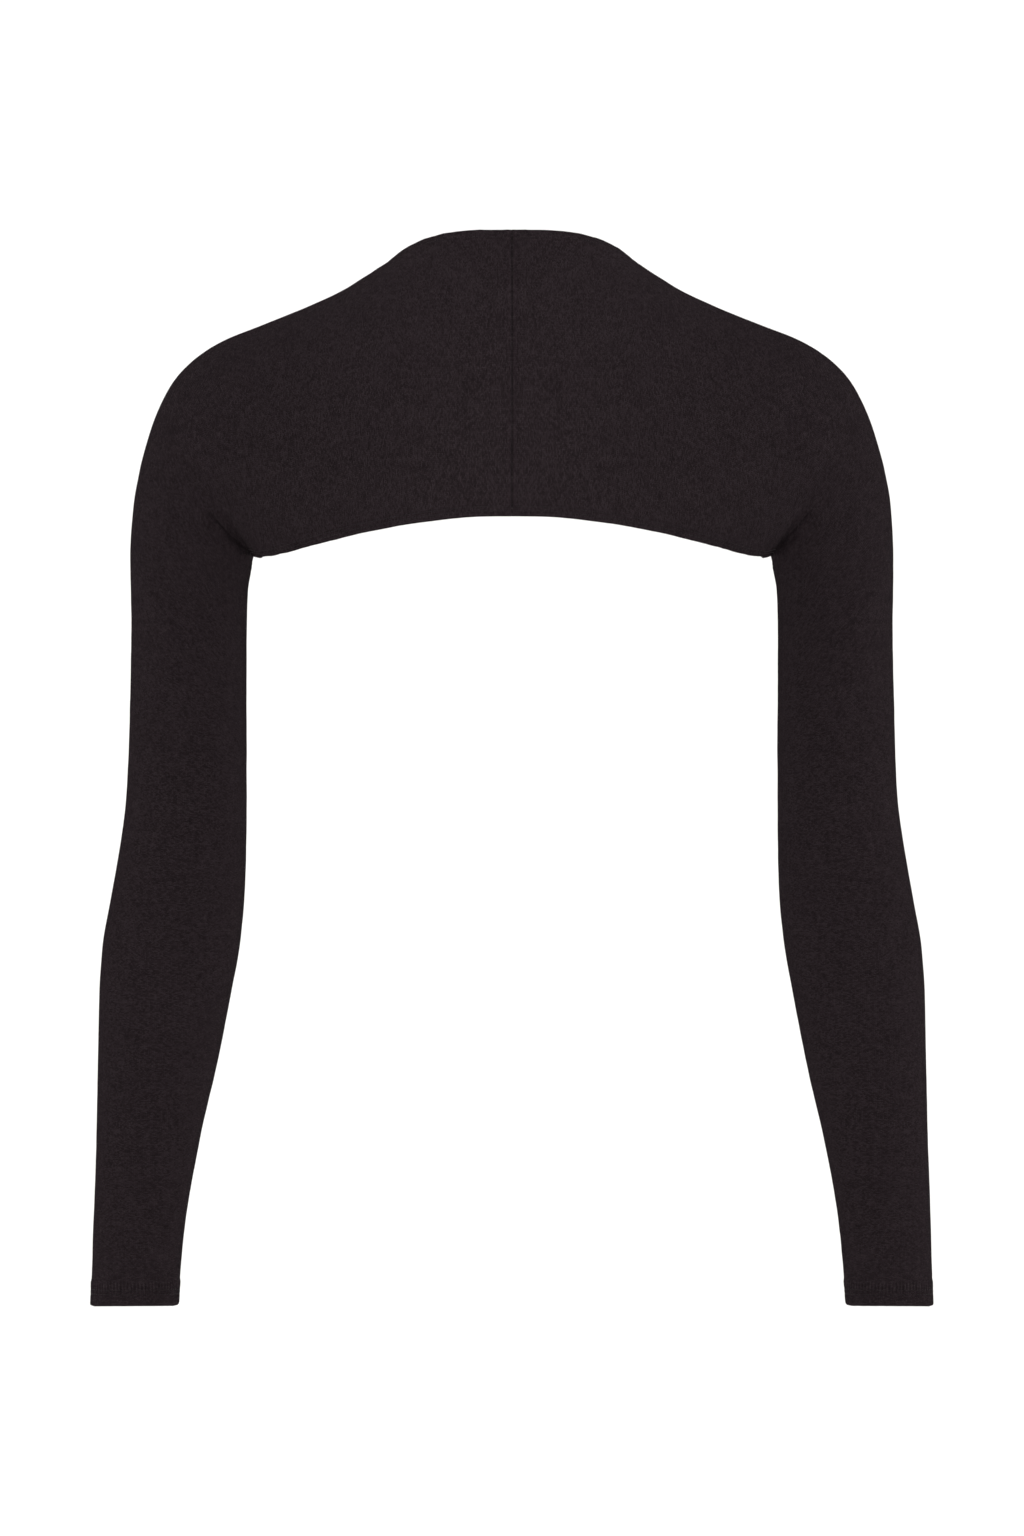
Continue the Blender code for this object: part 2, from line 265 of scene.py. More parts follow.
# Creases pressed into each half. A line goes outwards through points (x, z) with x away from
# the centre, and facing is 1 on the back and -1 on the front. The core is the fold itself and
# the valley the cloth that sinks towards it, wider on the body's side of the line. All in mm.
creases = {
    "left": [
        {"facing": 1, "line": [(153.0, -160.8), (163.7, -151.2), (172.6, -143.3), (181.6, -133.9),
                               (187.0, -129.8)],
         "core": (1.9, 0.6), "valley": (0.8, 10.0, 3.0), "fade": 0.45},
        {"facing": 1, "line": [(150.0, -150.0), (160.0, -134.0), (166.0, -112.0)],
         "core": (0.0, 1.0), "valley": (0.9, 9.0, 7.0), "fade": 0.8},
        {"facing": 1, "line": [(163.0, -176.0), (182.0, -160.0), (204.0, -150.0)],
         "core": (0.0, 1.0), "valley": (0.7, 8.0, 8.0), "fade": 0.8},
        {"facing": -1, "line": [(152.0, -160.5), (161.5, -150.5), (170.5, -138.0), (178.0, -124.0)],
         "core": (2.4, 1.3), "valley": (1.6, 6.5, 4.5), "fade": 0.55},
        {"facing": -1, "line": [(162.0, -174.0), (178.0, -153.0), (198.0, -140.0)],
         "core": (0.3, 1.6), "valley": (1.2, 6.0, 5.0), "fade": 0.8},
        {"facing": -1, "line": [(150.0, -140.0), (154.0, -124.0), (161.0, -102.0)],
         "core": (0.0, 1.0), "valley": (0.8, 7.0, 7.0), "fade": 0.8},
        {"facing": -1, "line": [(168.0, -364.0), (196.0, -373.0), (228.0, -368.0)],
         "core": (0.5, 1.8), "valley": (1.1, 6.0, 4.5), "fade": 0.6},
        {"facing": -1, "line": [(172.0, -390.0), (200.0, -398.0), (236.0, -390.0)],
         "core": (0.3, 1.8), "valley": (0.8, 6.0, 5.0), "fade": 0.6},
        {"facing": -1, "line": [(168.0, -343.0), (190.0, -349.0), (216.0, -345.0)],
         "core": (0.0, 1.0), "valley": (0.6, 6.5, 6.0), "fade": 0.6},
        {"facing": -1, "line": [(206.0, -570.0), (226.0, -576.0), (244.0, -573.0)],
         "core": (0.0, 1.0), "valley": (0.5, 5.0, 4.0), "fade": 0.6},
    ],
    "right": [
        {"facing": 1, "line": [(152.8, -160.4), (161.6, -151.0), (170.5, -142.4), (179.2, -131.6)],
         "core": (1.5, 0.5), "valley": (0.5, 9.0, 2.6), "fade": 0.18},
        {"facing": 1, "line": [(179.0, -132.0), (186.0, -125.0), (196.0, -117.5)],
         "core": (0.3, 1.5), "valley": (0.5, 5.0, 3.5), "fade": 0.8},
        {"facing": 1, "line": [(149.0, -150.0), (158.0, -132.0), (163.0, -110.0)],
         "core": (0.0, 1.0), "valley": (0.8, 9.0, 7.0), "fade": 0.8},
        {"facing": 1, "line": [(164.0, -180.0), (184.0, -166.0), (208.0, -158.0)],
         "core": (0.0, 1.0), "valley": (0.6, 8.0, 8.0), "fade": 0.8},
        {"facing": -1, "line": [(152.0, -160.5), (162.0, -151.0), (172.0, -140.0), (180.5, -127.0)],
         "core": (2.3, 1.3), "valley": (1.5, 6.5, 4.5), "fade": 0.55},
        {"facing": -1, "line": [(162.5, -178.0), (180.0, -159.0), (201.0, -148.0)],
         "core": (0.3, 1.6), "valley": (1.0, 6.5, 5.0), "fade": 0.8},
        {"facing": -1, "line": [(149.0, -138.0), (152.0, -120.0), (158.0, -99.0)],
         "core": (0.0, 1.0), "valley": (0.8, 7.0, 7.0), "fade": 0.8},
        {"facing": -1, "line": [(169.0, -358.0), (198.0, -367.0), (230.0, -361.0)],
         "core": (0.4, 1.8), "valley": (1.1, 6.0, 4.5), "fade": 0.6},
        {"facing": -1, "line": [(172.0, -383.0), (200.0, -390.0), (234.0, -385.0)],
         "core": (0.4, 1.8), "valley": (0.9, 6.0, 5.0), "fade": 0.6},
        {"facing": -1, "line": [(174.0, -408.0), (206.0, -413.0), (240.0, -404.0)],
         "core": (0.0, 1.0), "valley": (0.5, 7.0, 6.0), "fade": 0.6},
        {"facing": -1, "line": [(207.0, -578.0), (228.0, -583.0), (246.0, -579.0)],
         "core": (0.0, 1.0), "valley": (0.5, 5.0, 4.0), "fade": 0.6},
    ],
}


creaseShape = {  # what all creases share
    "curvePoints": 25,
    "facing": (0.05, 0.45),  # how squarely cloth has to face the crease's side to take it
    "start": (0.03, 0.5),  # how early and over what share of its length a crease deepens
    "coreFall": 1.4,  # how abruptly a core ends at its sides
    "swell": (0.22, 2.0),  # height and distance of the cloth pushed up beside a valley
}


def creaseHeights(points, normals, side):
    # how far each point is moved along its normal by the creases of that half
    shape = creaseShape
    (facingFrom, facingOver), (early, deepening) = shape["facing"], shape["start"]
    heights = np.zeros(points.shape[:2])
    flat = points[:, :, [0, 2]]
    for crease in creases[side]:
        corners = np.array(crease["line"], float)
        knots = lengthsOf(corners)
        at = np.linspace(0, knots[-1], shape["curvePoints"])
        curve = np.stack([smoothRead(knots, corners[:, k], at, levelStart=False) for k in range(2)],
                         axis=1)
        away = np.full(heights.shape, 1e9)
        place, bodySide = np.zeros_like(away), np.zeros_like(away)
        for k in range(len(curve) - 1):
            run = curve[k + 1] - curve[k]
            offset = flat - curve[k]
            share = np.clip(offset @ run / (run @ run), 0, 1)
            gap = np.linalg.norm(offset - share[..., None] * run, axis=2)
            nearer = gap < away
            away = np.where(nearer, gap, away)
            place = np.where(nearer, (k + share) / (len(curve) - 1), place)
            turn = run[0] * offset[..., 1] - run[1] * offset[..., 0]
            bodySide = np.where(nearer, turn > 0, bodySide)
        turned = eased((normals[:, :, 1] * crease["facing"] - facingFrom) / facingOver)
        strength = turned * eased((1 - place) / crease["fade"]) * eased((place + early) / deepening)
        depth, width = crease["core"]
        sink, bodyWidth, sleeveWidth = crease["valley"]
        valleyWidth = np.where(bodySide > 0, bodyWidth, sleeveWidth)
        swellShare, swellPlace = shape["swell"]
        swell = swellShare * sink * hump(away - swellPlace * valleyWidth, valleyWidth)
        core = depth * np.exp(-((away / width) ** shape["coreFall"]))
        heights += strength * (swell - core - sink * hump(away, valleyWidth))
    return heights


# How the cloth is finished. The neck, fronts and hem are one turned edge, the cuffs another,
# and two rows of stitching hold each. Both long seams are turned in. All in millimetres.
finishing = {
    "seeds": {"left": 3.0, "right": 41.0},
    "cloth": 1.0,  # one layer
    "hem": {"depth": 8.0, "rows": (3.6, 6.1), "extra": 0.85, "lift": 0.25, "pitch": 2.5},
    "cuff": {"depth": 14.5, "rows": (7.2, 9.8), "extra": 0.85, "lift": 0.40, "pitch": 2.4},
    "hemStep": (0.6, 1.2),  # where past its depth a turned edge thins out, and over what width
    "liftStep": (1.5, 2.5),  # the same for how far it stands proud
    "foldRadius": 1.2,
    "foldEnd": 0.02,  # what is left of the thickness at the very edge, squared
    "rowDip": (0.15, 0.55),  # depth and half width of the line that a row of stitches pulls in
    "pucker": 0.20,
    "puckerReach": 4.0,  # how far past its depth a turned edge still puckers
    "puckerWaves": ((1.0, 0.0, 0.17), (0.5, 7.0, 0.41)),  # share, seed and scale
    "seamDip": (0.9, 0.38),  # depth and half width of the line where two layers meet
    "seamDipAtEdge": 0.25,  # share of it that is left at an edge
    "seamHollow": (0.25, 2.6),
    "seamUneven": (0.6, 20.0, 0.15),  # share, seed and scale
    "seamBank": (0.14, 4.0, 1.8),  # height, distance from the seam and half width
    "seamFade": (0.5, 6.0),  # where inside an edge the seam's hollow begins, and over what width
    "cornerRounding": (2.8, 1.7),  # at the inner and the outer side of the cuff
    "sideDrop": (1.3, 20.0),  # how much lower the cuff is at its sides, and over what length
    "undulation": ((0.35, 0.022), (0.3, 4.5)),  # size and scale, then what finer waves add
}
waveLook = {"across": 0.03, "gain": 1.6}


def waves(places, across, seed, scale):
    # soft irregular waves from -1 to 1, read at a place along an edge
    flatPlaces, flatAcross = np.broadcast_arrays(places, across)
    read = [noise.noise(Vector((p * scale, a * waveLook["across"], seed)))
            for p, a in zip(flatPlaces.flat, flatAcross.flat)]
    return np.array(read).reshape(flatPlaces.shape) * waveLook["gain"]


def gridMesh(rows, columns):
    # an open net of quads whose points know their place in the grid
    net = bmesh.new()
    placeId = net.verts.layers.int.new("placeId")
    bmesh.ops.create_grid(net, x_segments=rows - 1, y_segments=columns - 1, size=1)
    for vert in net.verts:
        row = round((vert.co.x + 1) / 2 * (rows - 1))
        column = round((vert.co.y + 1) / 2 * (columns - 1))
        vert[placeId] = row * columns + column
    return net, placeId


def thicken(net, placeId, outer, inner, material=0):
    # gives the net its outer face, and an inner face and closed edges behind it
    made = bmesh.ops.extrude_face_region(net, geom=net.faces[:], use_keep_orig=True)
    newVerts = {part for part in made["geom"] if isinstance(part, bmesh.types.BMVert)}
    for part in made["geom"]:
        if isinstance(part, bmesh.types.BMFace):
            part.material_index = material
    for vert in net.verts:
        vert.co = Vector((inner if vert in newVerts else outer)[vert[placeId]])


def finishMesh(net, name, materials, mirrored=False):
    # millimetres to metres, on the wearer's left or mirrored to the right, facing outwards
    bmesh.ops.scale(net, vec=(-mm if mirrored else mm, mm, mm), verts=net.verts)
    if net.calc_volume(signed=True) < 0:
        bmesh.ops.reverse_faces(net, faces=net.faces)
    mesh = bpy.data.meshes.new(name)
    net.to_mesh(mesh)
    net.free()
    mesh.shade_smooth()
    for material in materials:
        mesh.materials.append(material)
    piece = bpy.data.objects.new(name, mesh)
    bpy.context.scene.collection.objects.link(piece)
    triangles = sum(len(polygon.vertices) - 2 for polygon in mesh.polygons)
    print(name + ":", len(mesh.vertices), "points,", triangles, "triangles")
    return piece


def surfaceNormals():
    # the outward direction at every grid point, the same on both sides of the underarm seam
    net, placeId = gridMesh(rowCount, columnCount)
    for vert in net.verts:
        vert.co = Vector(gridPoints.reshape(-1, 3)[vert[placeId]])
    bmesh.ops.remove_doubles(net, verts=net.verts, dist=mergeDistance)
    bmesh.ops.recalc_face_normals(net, faces=net.faces)
    normals = np.full((rowCount * columnCount, 3), np.nan)
    for vert in net.verts:
        normals[vert[placeId]] = vert.normal
    net.free()
    normals = normals.reshape(rowCount, columnCount, 3)
    for here, there in ((0, -1), (-1, 0)):
        missing = np.isnan(normals[:, here, 0])
        normals[missing, here] = normals[missing, there]
    normals[0, :, 0] = 0.0  # the two halves meet squarely
    normals /= np.linalg.norm(normals, axis=2, keepdims=True)
    return normals * np.sign(normals[0, columnCount // 2, 1])


def edgeDistances():
    # how far each grid point is from the open edge, and where along that edge
    ring = np.concatenate([gridPoints[: closingRow + 1, 0], gridPoints[:closingRow, -1][::-1]])
    lengths = lengthsOf(ring)
    at = np.arange(0, lengths[-1], clothGrid["edgeStep"])
    tree = kdtree.KDTree(len(at))
    for i, point in enumerate(readLine(ring, lengths, at)):
        tree.insert(point, i)
    tree.balance()
    found = [tree.find(point) for point in gridPoints.reshape(-1, 3)]
    shape = (rowCount, columnCount)
    away = np.array([hit[2] for hit in found]).reshape(shape)
    return away, at[[hit[1] for hit in found]].reshape(shape)


print("form: measuring the open edge")
gridNormals = surfaceNormals()
fromEdge, edgePlace = edgeDistances()
for end in (0, -1):
    fromEdge[:, end] = np.where(rowsAlong <= closingPlace, 0.0, fromEdge[:, end])
fromCuff = np.broadcast_to((cuffPlace - rowsAlong)[:, None], fromEdge.shape)
fromCentre = np.broadcast_to(rowsAlong[:, None], fromEdge.shape)
farOff = 1000.0  # mm, for the part of a half that has no underarm seam
fromUnderarm = np.where(rowsAlong[:, None] > closingPlace, gridToEnd, farOff)


def halfSurfaces(side):
    # outer and inner face of one half, with its creases, turned edges and seams
    f = finishing
    seed = f["seeds"][side]
    points = gridPoints.copy()

    # the cuff's rounded corners and its slightly lower sides
    low, high = points[:, :, 0].min(axis=1)[:, None], points[:, :, 0].max(axis=1)[:, None]
    sideways = (2 * points[:, :, 0] - low - high) / np.maximum(high - low, 1)
    for radius, sign in zip(f["cornerRounding"], (-1, 1)):
        rest = np.clip(1 - fromCuff / radius, 0, 1)
        pull = radius * (1 - np.sqrt(1 - rest * rest)) * np.clip(sideways * sign, 0, 1) ** 3
        points[:, :, 0] -= sign * pull
    drop, length = f["sideDrop"]
    turned = 1 - np.sqrt(np.clip(1 - sideways**2, 0, 1))
    points[:, :, 2] -= drop * turned * eased(1 - fromCuff / length)
    lift = creaseHeights(points, gridNormals, side)

    # turned edges
    wall = np.full(fromEdge.shape, f["cloth"])
    roundness = np.ones(fromEdge.shape)
    (dip, dipWidth), reach = f["rowDip"], f["puckerReach"]
    (hemPast, hemWidth), (liftPast, liftWidth) = f["hemStep"], f["liftStep"]
    for away, place, hem in ((fromEdge, edgePlace, f["hem"]),
                             (fromCuff, gridKnit[:, :, 1], f["cuff"])):
        near = eased((hem["depth"] + reach - away) / reach)
        lift += hem["lift"] * eased((hem["depth"] + liftPast - away) / liftWidth)
        wall += (hem["extra"] + hem["lift"]) * eased((hem["depth"] + hemPast - away) / hemWidth)
        for row in hem["rows"]:
            lift -= dip * hump(away - row, dipWidth)
        lift += f["pucker"] * near * sum(share * waves(place, away, seed + more, scale)
                                         for share, more, scale in f["puckerWaves"])
        share = np.clip(1 - away / f["foldRadius"], 0, 1)
        roundness = np.minimum(roundness, np.sqrt(np.maximum(1 - share * share, f["foldEnd"])))

    # seams, and the soft unevenness of the whole
    fadeFrom, fadeOver = f["seamFade"]
    atEdge = eased((np.minimum(fromEdge, fromCuff) - fadeFrom) / fadeOver)
    dipLeft = f["seamDipAtEdge"]
    unevenShare, unevenSeed, unevenScale = f["seamUneven"]
    bank, bankPlace, bankWidth = f["seamBank"]
    for away, place in ((fromCentre, points[:, :, 2]), (fromUnderarm, fromCentre)):
        uneven = 1 + unevenShare * waves(place, 0.0, seed + unevenSeed, unevenScale)
        lift -= f["seamDip"][0] * hump(away, f["seamDip"][1]) * (dipLeft + (1 - dipLeft) * atEdge)
        lift -= uneven * f["seamHollow"][0] * hump(away, f["seamHollow"][1]) * atEdge
        lift += bank * hump(away - bankPlace, bankWidth) * atEdge
    (size, scale), (fineShare, finer) = f["undulation"]
    shift = Vector((seed, 0, 0))
    soft = []
    for point in points.reshape(-1, 3):
        spot = Vector(point) * scale
        soft.append(noise.noise(spot + shift) + fineShare * noise.noise(spot * finer))
    lift += size * np.array(soft).reshape(lift.shape)
    outer = points + gridNormals * (lift - wall / 2 * (1 - roundness))[..., None]
    inner = points + gridNormals * (lift - wall / 2 * (1 + roundness))[..., None]
    for face in (outer, inner):
        face[0, :, 0] = 0.0
    return outer, inner


def clothHalf(side, outer, inner):
    # one half as a thin closed shell with its knit coordinates
    net, placeId = gridMesh(rowCount, columnCount)
    uv = net.loops.layers.uv.new("knit")
    knit = gridKnit.reshape(-1, 2)
    points = gridPoints.reshape(-1, 3)
    for vert in net.verts:
        vert.co = Vector(points[vert[placeId]])
    for face in net.faces:
        for loop in face.loops:
            loop[uv].uv = knit[loop.vert[placeId]] * mm
    bmesh.ops.remove_doubles(net, verts=net.verts, dist=mergeDistance)
    bmesh.ops.recalc_face_normals(net, faces=net.faces)
    thicken(net, placeId, outer.reshape(-1, 3), inner.reshape(-1, 3), material=1)
    return finishMesh(net, side + "_cloth", [faceKnit, reverseKnit], mirrored=side == "right")


# Stitching: small rounded stitches of spun thread that sink into the cloth at both ends. Each
# edge has two rows outside and a looper thread between them inside, and each seam allowance is
# overedged. Sizes in millimetres.
stitching = {
    "radius": 0.22,
    "looperRadius": 0.20,
    "gap": 0.35,
    "proud": 0.02,
    "rowsPastArmpit": 40,  # grid rows that an edge row is looked for in, past the armpit
    "allowanceSteps": [0.0, 0.7, 1.5, 2.4, 3.4, 4.4, 5.2, 5.8, 6.2],
    "allowanceThickness": (1.1, 0.35),  # at the seam, and the share lost at the cut edge
    "allowanceLift": (0.12, 0.3),  # how far it stands off the cloth, at the seam and more outside
    "allowanceWaves": (5.0, 0.07),  # seed and scale
    "needleColumn": 4,
    "overedge": {"pitch": 2.1, "ends": (0.5, 1.0), "past": 0.22, "above": 0.12, "slant": 0.3},
    "underarmEnds": (9, 15),  # where it starts past the armpit and stops before the cuff
    "backReach": 1.0,  # how far the one at the back goes in under the turned edges
    "backOverlap": 1.2,
}


def crossings(target, rowsWanted, fromLow):
    # grid places where the distance from the edge first passes the target on each row
    found = []
    for row in rowsWanted:
        values = fromEdge[row] if fromLow else fromEdge[row][::-1]
        above = np.nonzero(values >= target)[0]
        if len(above) == 0 or above[0] == 0:
            continue
        k = int(above[0])
        column = k - 1 + (target - values[k - 1]) / (values[k] - values[k - 1])
        found.append((row, column if fromLow else columnCount - 1 - column))
    return found


def onGrid(surface, places):
    # reads a surface at fractional rows and columns
    read = []
    for row, column in places:
        r, c = min(int(row), rowCount - 2), min(int(column), columnCount - 2)
        a, b = row - r, column - c
        read.append((surface[r, c] * (1 - b) + surface[r, c + 1] * b) * (1 - a)
                    + (surface[r + 1, c] * (1 - b) + surface[r + 1, c + 1] * b) * a)
    return np.array(read)


def edgeRow(distance):
    # grid places of a row that runs this far inside the open edge
    rowsWanted = range(0, closingRow + stitching["rowsPastArmpit"])
    return crossings(distance, rowsWanted, True) + crossings(distance, rowsWanted, False)[::-1]


def cuffRow(distance):
    row = float(np.interp(cuffPlace - distance, rowsAlong, np.arange(rowCount)))
    return [(row, column) for column in range(columnCount)]


def pathOn(surface, places, pitch, shift=0.0):
    # even steps along a row, with the outward direction at each
    line, normals = onGrid(surface, places), onGrid(gridNormals, places)
    lengths = lengthsOf(line)
    count = max(2, round(lengths[-1] / pitch))
    at = (np.arange(count + 1) + shift) * lengths[-1] / count
    at = at[at <= lengths[-1]]
    return readLine(line, lengths, at), readLine(normals, lengths, at)


def stitchBall():
    # the ball that every stitch is stretched from
    ball = bmesh.new()
    bmesh.ops.create_uvsphere(ball, u_segments=6, v_segments=4, radius=1)
    ball.verts.index_update()
    points = np.array([vert.co for vert in ball.verts])
    faces = [[vert.index for vert in face.verts] for face in ball.faces]
    ball.free()
    return points, faces


ballPoints, ballFaces = stitchBall()


def stitchPiece(name, stitches, mirrored):
    # every stitch is given as its start, its end, its outward direction and its radius
    points, faces = [], []
    for start, end, normal, radius in stitches:
        run = (end - start) / 2
        across = np.cross(normal, run)
        across *= radius / np.linalg.norm(across)
        up = np.cross(run, across)
        up *= radius / np.linalg.norm(up)
        faces += [[k + len(points) * len(ballPoints) for k in face] for face in ballFaces]
        points.append(ballPoints @ np.array([across, up, run]) + (start + end) / 2)
    mesh = bpy.data.meshes.new(name)
    mesh.from_pydata(np.concatenate(points).tolist(), [], faces)
    net = bmesh.new()
    net.from_mesh(mesh)
    bpy.data.meshes.remove(mesh)
    return finishMesh(net, name, [sewingThread], mirrored=mirrored)


def stitchRow(surface, places, pitch):
    points, normals = pathOn(surface, places, pitch)
    points = points + normals * stitching["proud"]
    stitches = []
    for i in range(len(points) - 1):
        run = points[i + 1] - points[i]
        trim = run / np.linalg.norm(run) * stitching["gap"] / 2
        stitches.append((points[i] + trim, points[i + 1] - trim, normals[i], stitching["radius"]))
    return stitches


def looperRow(surface, firstRow, secondRow, pitch):
    # the looper thread goes back and forth between two rows of stitches
    first, firstNormals = pathOn(surface, firstRow, pitch)
    second, secondNormals = pathOn(surface, secondRow, pitch, shift=0.5)
    first = first - firstNormals * stitching["proud"]
    second = second - secondNormals * stitching["proud"]
    stitches = []
    for i in range(min(len(first), len(second)) - 1):
        for a, b in ((first[i], second[i]), (second[i], first[i + 1])):
            stitches.append((a, b, firstNormals[i], stitching["looperRadius"]))
    return stitches


def edgeStitching(side, outer, inner):
    stitches = []
    for hem, rowOf in ((finishing["hem"], edgeRow), (finishing["cuff"], cuffRow)):
        rows = [rowOf(distance) for distance in hem["rows"]]
        for row in rows:
            stitches += stitchRow(outer, row, hem["pitch"])
        stitches += looperRow(inner, rows[0], rows[1], hem["pitch"])
    return stitchPiece(side + "_edge_stitching", stitches, side == "right")


def seamAllowance(name, inner, places, overlap=0.0, mirrored=False):
    # the two overedged layers of a seam, pressed to one side; places go along, then across, and
    # the overlap carries the folded side past the seam
    count, wide = len(places), len(stitching["allowanceSteps"])
    flatPlaces = [place for line in places for place in line]
    points = onGrid(inner, flatPlaces).reshape(count, wide, 3)
    normals = onGrid(gridNormals, flatPlaces).reshape(count, wide, 3)
    points[:, 0] += (points[:, 0] - points[:, 1]) * overlap
    lengths = lengthsOf(points[:, wide // 2])
    free = np.array(stitching["allowanceSteps"])[None, :] / stitching["allowanceSteps"][-1]
    standOff, more = stitching["allowanceLift"]
    thickness, thinning = stitching["allowanceThickness"]
    wavy = 1 + waves(lengths[:, None], free, *stitching["allowanceWaves"])
    lift = standOff + more * free**2 * wavy
    near = points - normals * lift[..., None]
    far = near - normals * (thickness * (1 - thinning * free**4))[..., None]
    net, placeId = gridMesh(count, wide)
    uv = net.loops.layers.uv.new("knit")
    for vert in net.verts:
        vert.co = Vector(near.reshape(-1, 3)[vert[placeId]])
    for face in net.faces:
        for loop in face.loops:
            row, column = divmod(loop.vert[placeId], wide)
            loop[uv].uv = (stitching["allowanceSteps"][column] * mm, lengths[row] * mm)
    thicken(net, placeId, near.reshape(-1, 3), far.reshape(-1, 3))
    strip = finishMesh(net, name, [reverseKnit], mirrored=mirrored)

    # overedge threads: over the cut edge, back to the needle line and along both
    overedge = stitching["overedge"]
    at = np.arange(overedge["ends"][0], lengths[-1] - overedge["ends"][1], overedge["pitch"])
    needle = readLine(far[:, stitching["needleColumn"]], lengths, at)
    edge = readLine(far[:, -1], lengths, at)
    inwards = -readLine(normals[:, -2], lengths, at)
    pierced = needle + inwards * overedge["above"]
    threads = []
    for i in range(len(at) - 1):
        past = (edge[i] - needle[i]) / np.linalg.norm(edge[i] - needle[i]) * overedge["past"]
        over, nextOver = edge[i] + past, edge[i + 1] + past - inwards[i] * overedge["slant"]
        for a, b in ((pierced[i], over), (pierced[i], pierced[i + 1]), (over, nextOver)):
            threads.append((a, b, inwards[i], stitching["looperRadius"]))
    return [strip, stitchPiece(name + "_overedge", threads, mirrored)]


def linearColour(hexText):
    values = [int(hexText[i:i + 2], 16) / 255 for i in (1, 3, 5)]
    return (*[v / 12.92 if v <= 0.04045 else ((v + 0.055) / 1.055) ** 2.4 for v in values], 1.0)


def addNode(tree, kind, settings=None, sockets=None):
    node = tree.nodes.new(kind)
    for name, value in (settings or {}).items():
        setattr(node, name, value)
    for name, value in (sockets or {}).items():
        if isinstance(value, bpy.types.NodeSocket):
            tree.links.new(value, node.inputs[name])
        else:
            node.inputs[name].default_value = value
    return node


def calc(tree, operation, a, b=0.0, c=0.0, limit=False):
    settings = {"operation": operation, "use_clamp": limit}
    return addNode(tree, "ShaderNodeMath", settings, {0: a, 1: b, 2: c}).outputs[0]


# Fine single jersey, in millimetres. The real stitches are about half as big, which would
# not show, so they are drawn coarser.
knitLook = {
    "wale": 1.45,
    "course": 1.15,
    "legSlant": 0.85,  # how far a leg of the V climbs, in rows
    "reverse": {"slant": 0.12, "legs": (0.3, 0.7)},  # what is left of the V on the reverse
    "wander": 0.45,  # how far the yarn strays, in stitches
    "loopPower": 0.6,
    "noises": {"wander": (230.0, 1.0), "fuzz": (1500.0, 3.0), "mottle": (330.0, 3.0),
               "cloud": (60.0, 2.0)},  # scale to a metre, and detail
    "noiseRoughness": 0.62,
    "tones": {"loop": (0.42, -0.04), "leg": 0.39, "rib": 0.19},  # shares of the way up the ramp
    "noiseTones": {"fuzz": 0.75, "mottle": 0.40, "cloud": 0.14},
    "heights": {"fuzz": 0.45, "leg": 0.25, "rib": 0.4},
    "bump": (0.75, 0.00035),  # strength, and relief in metres
    "ribs": (11.6, 4.8, 2.1),  # distance from the cuff's edge, half width and pitch
    # deep, middle and high run from the painted shade in the gaps between loops up to the tops of
    # the yarn
    "deep": "#0c090a",
    "middle": "#1c1719",
    "high": "#2d2729",
    "roughness": 0.92,
    "specular": 0.0,
    "sheen": 0.0072,
    "sheenRoughness": 0.5,
    "sheenTint": "#e6dfe1",
}


